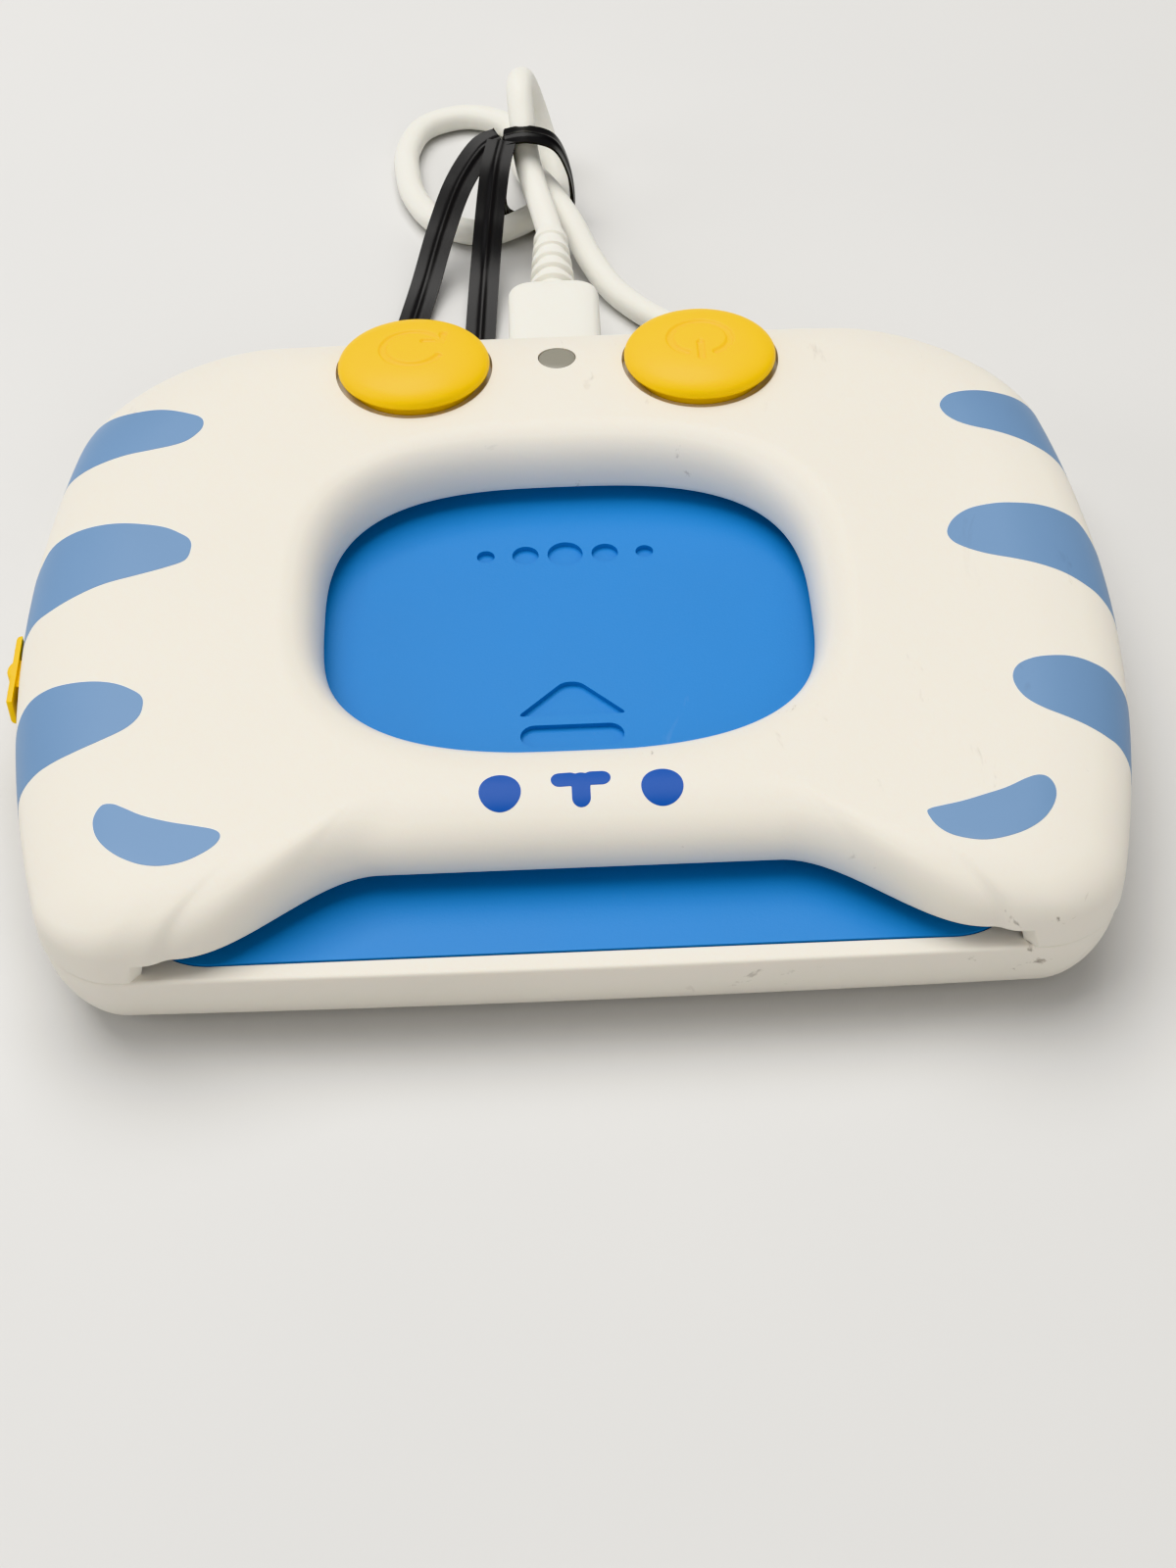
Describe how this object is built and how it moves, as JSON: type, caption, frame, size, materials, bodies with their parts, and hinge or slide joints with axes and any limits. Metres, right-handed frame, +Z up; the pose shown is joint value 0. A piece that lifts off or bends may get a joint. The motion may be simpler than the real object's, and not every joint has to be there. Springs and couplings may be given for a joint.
{
  "type": "talking flash-card reader",
  "caption": "Cat-faced flash-card reader with a card slot, a round-cornered window, domed buttons, a volume slider and a USB charging lead.",
  "frame": {"origin": "on the table, under the middle of the body's box", "axes": "+Z up, -Y the front where the card goes in, +Y the back with the charging port, +X to the right seen from the front"},
  "size_m": [0.1193, 0.1667, 0.0235],
  "materials": {
    "shell_plastic": "satin",
    "bed_plastic": "satin",
    "button_plastic": "satin",
    "lens_plastic": "satin",
    "black_plastic": "moulded",
    "circuit_board": "solder mask",
    "steel": "plated",
    "led_resin": "clear",
    "battery_foil": "foil",
    "red_wire": "wire sleeve",
    "black_wire": "wire sleeve",
    "flat_cable": "film",
    "foot_rubber": "soft",
    "cable_jacket": "soft",
    "tie_film": "smooth"
  },
  "bodies": {
    "reader": {"top_shell": "shell_plastic", "bottom_shell": "shell_plastic", "card_bed": "bed_plastic", "repeat_switch": "steel", "power_switch": "steel", "light_pipe": "lens_plastic", "status_led": "led_resin", "volume_switch": "steel", "main_board": "circuit_board", "sound_chip": "black_plastic", "usb_socket": "steel", "card_sensor_board": "circuit_board", "card_sensors": "black_plastic", "board_screws": "steel", "case_screws": "steel", "battery": "battery_foil", "battery_lead": "red_wire", "speaker": "black_plastic", "speaker_magnet": "steel", "speaker_lead": "black_wire", "sensor_lead": "flat_cable", "rubber_feet": "foot_rubber", "charging_plug": "cable_jacket", "charging_plug_tongue": "steel", "strain_relief": "cable_jacket", "charging_cable": "cable_jacket", "usb_a_moulding": "cable_jacket", "usb_a_shell": "steel", "usb_a_tongue": "black_plastic", "twist_tie": "tie_film"},
    "repeat_key": {"repeat_button": "button_plastic", "repeat_plunger": "black_plastic"},
    "power_key": {"power_button": "button_plastic", "power_plunger": "black_plastic"},
    "volume_slider": {"volume_knob": "button_plastic"}
  },
  "joints": [
    {"name": "repeat_press", "type": "slide", "parent": "reader", "child": "repeat_key", "axis": [0, -0.0872, -0.9962], "range_m": [0, 0.0005], "stiffness_N_per_m": 600, "springref_m": -0.0002},
    {"name": "power_press", "type": "slide", "parent": "reader", "child": "power_key", "axis": [0, -0.0872, -0.9962], "range_m": [0, 0.0005], "stiffness_N_per_m": 600, "springref_m": -0.0002},
    {"name": "volume_slide", "type": "slide", "parent": "reader", "child": "volume_slider", "axis": [0, 1, 0], "range_m": [-0.002, 0.002]}
  ]
}
